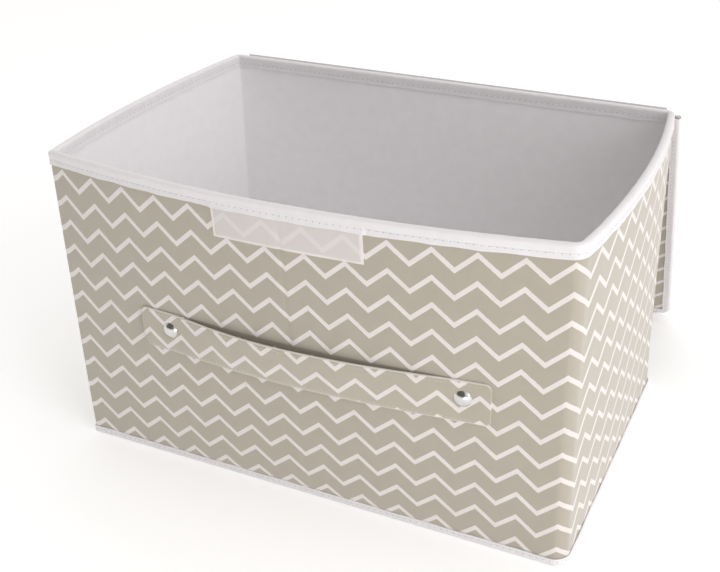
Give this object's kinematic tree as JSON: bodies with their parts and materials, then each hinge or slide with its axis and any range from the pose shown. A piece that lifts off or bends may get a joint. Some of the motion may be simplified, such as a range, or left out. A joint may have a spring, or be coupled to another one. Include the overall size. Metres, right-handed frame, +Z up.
{
  "type": "fabric storage bin",
  "caption": "Rectangular fabric storage box with chevron print, white binding tape, a hinged lid open behind it, a riveted strap handle and a loose base insert.",
  "frame": {"origin": "centre of the box's underside, on the surface it stands on", "axes": "+X along the front towards the right end, -Y out of the front with the handle, +Z up"},
  "size_m": [0.398, 0.4418, 0.24],
  "materials": {
    "printed_fabric": "matte non-woven, greige with off-white chevrons",
    "white_nonwoven": "matte embossed non-woven",
    "binding_tape": "matte white tape",
    "cardboard": "plain grey-brown board",
    "hook_tape": "translucent white hook tape",
    "loop_tape": "white brushed loop",
    "rivet_metal": "polished nickel plate"
  },
  "bodies": {
    "bin": {"outer_cover_front": "printed_fabric", "outer_cover_right": "printed_fabric", "outer_cover_back": "printed_fabric", "outer_cover_left": "printed_fabric", "handle_end_left": "printed_fabric", "handle_end_right": "printed_fabric", "lining_front": "white_nonwoven", "lining_right": "white_nonwoven", "lining_back": "white_nonwoven", "lining_left": "white_nonwoven", "bottom_fabric": "white_nonwoven", "front_board_left": "cardboard", "front_board_right": "cardboard", "back_board_left": "cardboard", "back_board_right": "cardboard", "left_board": "cardboard", "right_board": "cardboard", "rim_binding_front": "binding_tape", "rim_binding_right": "binding_tape", "rim_binding_back": "binding_tape", "rim_binding_left": "binding_tape", "base_binding_front": "binding_tape", "base_binding_right": "binding_tape", "base_binding_back": "binding_tape", "base_binding_left": "binding_tape", "hook_tape": "hook_tape", "rivets": "rivet_metal", "rivet_backs": "rivet_metal"},
    "lid": {"lid_outer_fabric": "printed_fabric", "lid_lining": "white_nonwoven", "lid_board": "cardboard", "lid_binding_left": "binding_tape", "lid_binding_right": "binding_tape", "lid_binding_front": "binding_tape", "lid_hinge_strip": "binding_tape"},
    "lid_flap": {"flap_outer_fabric": "printed_fabric", "flap_lining": "white_nonwoven", "flap_binding_left": "binding_tape", "flap_binding_right": "binding_tape", "flap_binding_end": "binding_tape", "loop_tape": "loop_tape"},
    "handle_grip": {"handle_grip": "printed_fabric"},
    "base_insert": {"insert_slip_bottom": "white_nonwoven", "insert_slip_top": "white_nonwoven", "insert_board": "cardboard"}
  },
  "joints": [
    {"name": "lid_hinge", "type": "hinge", "parent": "bin", "child": "lid", "pos_m": [0, 0.1275, 0.2403], "axis": [1, 0, 0], "range_deg": [0, 242.87]},
    {"name": "lid_flap_fold", "type": "hinge", "parent": "lid", "child": "lid_flap", "pos_m": [0, 0.24916, 0.00196], "axis": [1, 0, 0], "range_deg": [-62.87, 27.13]},
    {"name": "handle_pull", "type": "slide", "parent": "bin", "child": "handle_grip", "axis": [0, -1, 0], "range_m": [0, 0.012]},
    {"name": "insert_lift", "type": "slide", "parent": "bin", "child": "base_insert", "axis": [0, 0, 1], "range_m": [0, 0.26]}
  ]
}
